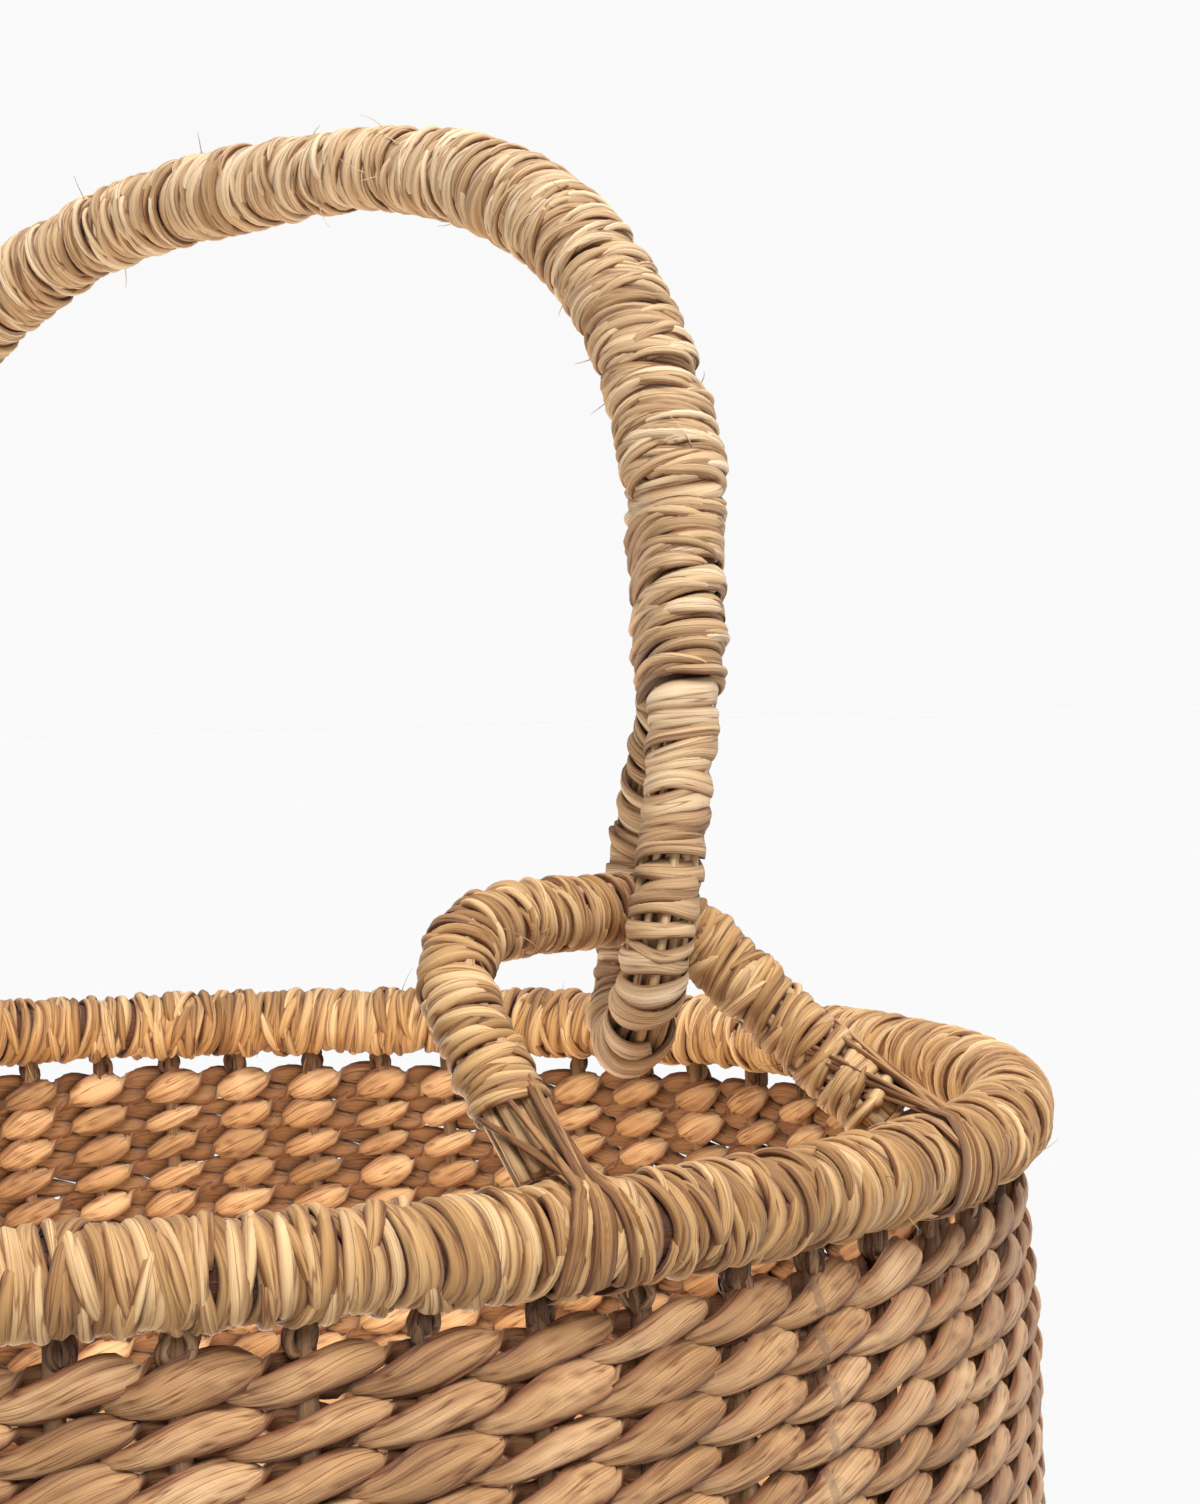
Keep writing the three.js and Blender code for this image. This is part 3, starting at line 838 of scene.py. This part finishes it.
def add_hub(strands, rng, middle):
    """Two layers of leaves that cross in the middle of the base."""
    reach = np.linspace(-1, 1, 16)[:, None]
    drop = 0.0012 + 0.0014 * reach ** 4
    for along, across, face in ((X_AXIS, Y_AXIS, UP), (Y_AXIS, X_AXIS, -UP)):
        for k in range(HUB_LEAVES):
            offset = (k - HUB_LEAVES // 2) * HUB_SPACING
            centre = along * reach * HUB_REACH + across * offset + UP * middle + face * drop
            add_ribbon(strands, rng, centre, np.broadcast_to(face, centre.shape),
                       tone=rng.uniform(0.5, 1.0), roll=rng.uniform(-0.1, 0.1), **HUB_LEAF)


# ---------------------------------------------------------------- rim and ears

def rim_point(angle):
    return outward_at(angle) * RIM_RADIUS + UP * RIM_HEIGHT


def outward(point):
    return unit(np.array([point[0], point[1], 0.0]))


def rim_path():
    angles = np.linspace(0, 2 * math.pi, 720, endpoint=False)
    return Path([rim_point(a) for a in angles], outward, closed=True)


def make_rim(material, core_material):
    rng = np.random.default_rng(21)
    path = rim_path()
    wraps = Strands()
    add_lining(wraps, path, 0, path.length, RIM_TUBE)
    wind(wraps, rng, path, 0, path.length, RIM_TUBE, RIM_PITCH, RIM_RIBBON, lean=0.0012,
         bow=0.0024, hand=-1)
    wraps.build("rim_winding", material, "basket", ["rim_wrap"])

    loose = Strands()
    over_wind(loose, rng, path, 0, path.length, RIM_TUBE, LOOSE_TURNS["rim"], lean=0.0035)
    add_hairs(loose, rng, path, RIM_TUBE, HAIRS["rim"])
    loose.build("rim_loose_turns", material, "basket")

    core = Strands()
    add_bundle(core, rng, path, 0, path.length * 0.999, **RIM_CORE)
    core.build("rim_core_fibres", core_material, "basket", ["rim_core"])


def make_rim_knots(material):
    """Each stake is tied to the rim with a small knot of crossing turns."""
    rng = np.random.default_rng(22)
    knots = Strands()
    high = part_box("rim_lashing")[1]
    radius = max(high.x, high.y) - KNOT_INSET
    knot_height = UP * (middle_height("rim_lashing") + KNOT_RAISE)
    for k in range(STAKE_COUNT):
        away = outward_at(2 * math.pi * k / STAKE_COUNT + rng.uniform(-0.01, 0.01))
        along = np.cross(UP, away)
        for _ in range(LOOPS_PER_KNOT):
            turn = np.linspace(0, 2 * math.pi, 22, endpoint=False)
            roll = rng.uniform(-1.2, 1.2)
            wide, tall = rng.uniform(0.0014, 0.0026), rng.uniform(0.0020, 0.0034)
            sideways = along * math.cos(roll) + away * math.sin(roll)
            lean = sideways * rng.uniform(-0.5, 0.5) + UP
            around = sideways * np.cos(turn)[:, None] * wide + lean * np.sin(turn)[:, None] * tall
            middle = away * (radius + rng.uniform(-0.0005, 0.0006)) + knot_height
            add_ribbon(knots, rng, middle + around, around, rng.uniform(0.0007, 0.0012),
                       KNOT_THICKNESS, tone=rng.uniform(0.1, 0.75), roll=rng.uniform(0, 3),
                       closed=True)
    knots.build("rim_knots", material, "basket", ["rim_lashing"])


def mirror(points, side):
    return points * np.array([side, 1, 1])


def rounded_corner(a, b, c, reach):
    start = b + unit(a - b) * reach
    end = b + unit(c - b) * reach
    t = np.linspace(0, 1, 6)[:, None]
    return list((1 - t) ** 2 * start + 2 * t * (1 - t) * b + t ** 2 * end)


def ear_points():
    """One ear on the +X side: up from the rim, across as a bar and down again."""
    tops, feet = [], []
    for angle, corner_y in zip(EAR_FOOT_ANGLES, EAR_CORNERS_Y):
        top = np.array([EAR_BAR_RADIUS, corner_y, EAR_BAR_HEIGHT])
        root = rim_point(angle)
        tops.append(top)
        feet.append(root + unit(top - root) * EAR_FOOT_LIFT)
    front = rounded_corner(feet[0], tops[0], tops[1], EAR_CORNER_REACHES[0])
    back = rounded_corner(tops[0], tops[1], feet[1], EAR_CORNER_REACHES[1])
    leg_front = (feet[0] + front[0]) / 2
    leg_back = (feet[1] + back[-1]) / 2
    middle = (front[-1] + back[0]) / 2
    return np.array([feet[0], leg_front, *front, middle, *back, leg_back, feet[1]])


def add_straps(strands, rng, angle, leg, first):
    """Loose leaves that tie one foot of an ear over the outside of the rim."""
    away = outward_at(angle)
    along = np.cross(UP, away)
    root = rim_point(angle)
    for k in range(STRAPS_PER_FOOT):
        reach = rng.uniform(0.013, 0.022)
        place, normal, side = leg.at(np.array([reach if first else leg.length - reach]))
        roll = rng.uniform(0, 2 * math.pi)
        around = normal[0] * math.cos(roll) + side[0] * math.sin(roll)
        start = place[0] + around * STRAP_START_RADIUS
        drift = rng.uniform(-0.009, 0.009)
        lift = RIM_TUBE + 0.0008 + rng.uniform(0, 0.0008)
        points = [start]
        for turn, share in STRAP_ROUTE:
            around = away * math.cos(math.radians(turn)) + UP * math.sin(math.radians(turn))
            points.append(root + around * lift + along * drift * share)
        points.append(root - UP * 0.0065 + away * 0.001 + along * drift)
        centre = smooth_curve(points, STRAP_STEPS)
        out = unit(centre - root - along * ((centre - root) @ along)[:, None])
        half_width = BROAD_STRAP_HALF_WIDTH if k < BROAD_STRAPS else rng.uniform(0.0006, 0.0014)
        width = half_width * (1 - 0.5 * np.linspace(-1, 1, STRAP_STEPS) ** 6)
        add_ribbon(strands, rng, centre, out, width, STRAP_THICKNESS,
                   tone=rng.uniform(-0.1, 0.6), roll=rng.uniform(-0.25, 0.25), folds=1.4,
                   crease=0.35, roundness=2.0)


def make_ear(side, label, material, core_material):
    rng = np.random.default_rng(31 if side > 0 else 32)
    path = Path(smooth_curve(mirror(ear_points(), side), 160), Y_AXIS)
    start, end = EAR_BARE_FRONT, path.length - EAR_BARE_BACK
    wraps = Strands()
    add_lining(wraps, path, start, end, EAR_TUBE)
    wind(wraps, rng, path, start, end, EAR_TUBE, EAR_PITCH, EAR_RIBBON, lean=0.0012, hand=side)
    wraps.build(f"ear_winding_{label}", material, "basket", [f"ear_wrap_{label}"])

    loose = Strands()
    over_wind(loose, rng, path, start, end, EAR_TUBE - 0.0003, LOOSE_TURNS["ear"])
    add_hairs(loose, rng, path, EAR_TUBE, HAIRS["ear"])
    loose.build(f"ear_loose_turns_{label}", material, "basket")

    core = Strands()
    add_bundle(core, rng, path, -0.003, path.length, **EAR_CORE)
    core.build(f"ear_core_fibres_{label}", core_material, "basket",
               [f"ear_core_{label}"])

    rim = rim_path()
    lashing = Strands()
    middle_angle = 0 if side > 0 else math.pi
    nodes = []
    for foot_angle, end_label in zip(EAR_FOOT_ANGLES, "ab"):
        angle = middle_angle + side * foot_angle
        place = angle % (2 * math.pi) * RIM_RADIUS
        over_wind(lashing, rng, rim, place - LASHING_REACH, place + LASHING_REACH,
                  RIM_TUBE + LASHING_RAISE, **LASHING)
        nodes.append(f"ear_lashing_{label}_{end_label}")
        add_straps(lashing, rng, angle, path, foot_angle < 0)
    lashing.build(f"ear_ties_{label}", material, "basket", nodes)


# ---------------------------------------------------------------- handle

EYE_ACROSS = np.array([math.cos(EYE_TWIST), math.sin(EYE_TWIST), 0])
EYE_OFFSET = EYE_ACROSS * EYE_HALF_GAP


def from_handle_frame(points):
    """Points in the handle's upright frame, leaned to rest and put on the hinge."""
    points = np.asarray(points, float)
    cosine, sine = math.cos(HANDLE_LEAN), math.sin(HANDLE_LEAN)
    y = points[:, 1] * cosine - points[:, 2] * sine
    z = points[:, 1] * sine + points[:, 2] * cosine
    return np.stack([points[:, 0], y, z], 1) + HINGE


def outer_strand(z):
    up = min(1, (z - ARCH_FOOT) / HANDLE_RISE)
    x = HANDLE_HALF_SPAN * (1 - up ** HANDLE_SQUARENESS) ** (1 / HANDLE_SQUARENESS)
    return np.array([x, EYE_OFFSET[1], z])


def inner_strand(z):
    t = np.clip((z - EYE_CLOSING_HEIGHT) / (EYE_CROTCH_HEIGHT - EYE_CLOSING_HEIGHT), 0, 1)
    closing = t * t * (3 - 2 * t)
    spacing = 2 * EYE_HALF_GAP * (1 - closing) + BOUND_SPACING * closing
    return outer_strand(z) - EYE_ACROSS * spacing


def eye_points():
    """From the crotch down the inner strand, round the turn and up the outer strand."""
    down = np.arange(EYE_CROTCH_HEIGHT, EYE_TURN_HEIGHT + 0.006, -EYE_POINT_SPACING)
    up = np.arange(EYE_TURN_HEIGHT + EYE_POINT_SPACING, EYE_CROTCH_HEIGHT, EYE_POINT_SPACING)
    points = [inner_strand(z) for z in down]
    centre = outer_strand(EYE_TURN_HEIGHT) - EYE_OFFSET
    for turn in np.linspace(math.pi, 0, 9):
        point = centre + EYE_ACROSS * EYE_HALF_GAP * math.cos(turn)
        point[2] -= EYE_HALF_GAP * math.sin(turn)
        points.append(point)
    points += [outer_strand(z) for z in up]
    return np.array(points)


def arch_points(start_height):
    exponent = 2 / HANDLE_SQUARENESS
    first = math.asin(((start_height - ARCH_FOOT) / HANDLE_RISE) ** (1 / exponent))
    turn = np.linspace(first, math.pi - first, 61)
    across = np.sign(np.cos(turn)) * np.abs(np.cos(turn)) ** exponent
    x = HANDLE_HALF_SPAN * across
    z = ARCH_FOOT + HANDLE_RISE * np.sin(turn) ** exponent
    return np.stack([x, np.full(len(turn), EYE_OFFSET[1]), z], 1)


def make_grip(material, core_material):
    rng = np.random.default_rng(41)
    path = Path(smooth_curve(from_handle_frame(arch_points(EYE_END_HEIGHT)), 400), Y_AXIS)

    def tube(s):
        return HANDLE_TUBE + 0.0004 * np.sin(s * 31) + 0.0004 * np.cos(s * 67)

    wraps = Strands()
    add_lining(wraps, path, 0, path.length, tube)
    wind(wraps, rng, path, 0, path.length, tube, HANDLE_PITCH, HANDLE_RIBBON, lean=0.0020, hand=-1)
    wraps.build("handle_winding", material, "handle", ["handle_wrap"])
    loose = Strands()
    over_wind(loose, rng, path, 0, path.length, tube, LOOSE_TURNS["handle"])
    add_hairs(loose, rng, path, tube, HAIRS["handle"])
    loose.build("handle_loose_turns", material, "handle")
    core = Strands()
    add_bundle(core, rng, path, 0, path.length, **HANDLE_CORE)
    core.build("handle_core_fibres", core_material, "handle", ["handle_core"])


def make_eye(side, label, material, core_material):
    """The bent end of the handle. Near the bottom its winding parts and shows the core."""
    rng = np.random.default_rng(51 if side > 0 else 52)
    points = mirror(from_handle_frame(eye_points()), side)
    path = Path(smooth_curve(points, 240), Y_AXIS)
    window = path.length * EYE_WINDOW_PLACE
    wraps = Strands()
    for start, end in ((0, window - EYE_WINDOW / 2), (window + EYE_WINDOW / 2, path.length)):
        wind(wraps, rng, path, start, end, EYE_TUBE, EYE_PITCH, EYE_RIBBON, half_width=0.70,
             lean=0.001, hand=side)
    wraps.build(f"eye_winding_{label}", material, "handle",
                [f"eye_wrap_{label}"])
    core = Strands()
    add_bundle(core, rng, path, 0, path.length, **EYE_CORE)
    core.build(f"eye_core_fibres_{label}", core_material, "handle")
    make_binding(side, label, rng, material)


def make_binding(side, label, rng, material):
    """The band round both strands above an eye, which closes to one strand at its top."""
    heights = np.linspace(EYE_CROTCH_HEIGHT - 0.005, EYE_END_HEIGHT + 0.008, 12)

    def half_spacing(z):
        closed = np.clip((z - EYE_END_HEIGHT + 0.006) / 0.014, 0, 1)
        return BOUND_SPACING / 2 * (1 - closed)

    middle = [outer_strand(z) - EYE_ACROSS * half_spacing(z) for z in heights]
    middle = mirror(from_handle_frame(middle), side)
    neck = Path(smooth_curve(middle, 60), mirror(EYE_ACROSS, side))

    def flat(s):
        return half_spacing(heights[0] + s / neck.length * (heights[-1] - heights[0]))

    def tube(s):
        return NECK_TUBE + NECK_FLARE * np.clip(s / neck.length, 0, 1)

    binding = Strands()
    add_lining(binding, neck, 0, neck.length, tube, flat)
    wind(binding, rng, neck, 0, neck.length, tube, HANDLE_PITCH, BINDING_RIBBON, lean=0.001,
         hand=side, flat=flat)
    over_wind(binding, rng, neck, 0, neck.length, tube, LOOSE_TURNS["binding"], flat=flat)
    binding.build(f"eye_binding_turns_{label}", material, "handle",
                  [f"eye_binding_{label}"])


# ---------------------------------------------------------------- the whole basket

make_camera()
make_light()
make_floor()

wall_grass = grass_material(
    "wall_grass", dark=(0.22, 0.10, 0.032), mid=(0.57, 0.318, 0.140), pale=(0.84, 0.55, 0.30))
rim_grass = grass_material(
    "rim_grass", dark=(0.23, 0.095, 0.024), mid=(0.57, 0.325, 0.125), pale=(0.88, 0.62, 0.33))
handle_grass = grass_material(
    "handle_grass", dark=(0.30, 0.145, 0.05), mid=(0.74, 0.505, 0.275), pale=(0.96, 0.80, 0.55))
stake_grass = grass_material(
    "stake_grass", dark=(0.10, 0.045, 0.018), mid=(0.27, 0.145, 0.065), pale=(0.45, 0.28, 0.15))
core_grass = grass_material(
    "core_grass", dark=(0.36, 0.19, 0.08), mid=(0.66, 0.43, 0.21), pale=(0.86, 0.66, 0.40),
    stain=0.2)

make_base(wall_grass, stake_grass)
make_stakes(stake_grass)
make_wall(wall_grass)
make_rim(rim_grass, core_grass)
make_rim_knots(stake_grass)
for side, label in ((1, "right"), (-1, "left")):
    make_ear(side, label, rim_grass, core_grass)
    make_eye(side, label, handle_grass, core_grass)
make_grip(handle_grass, core_grass)
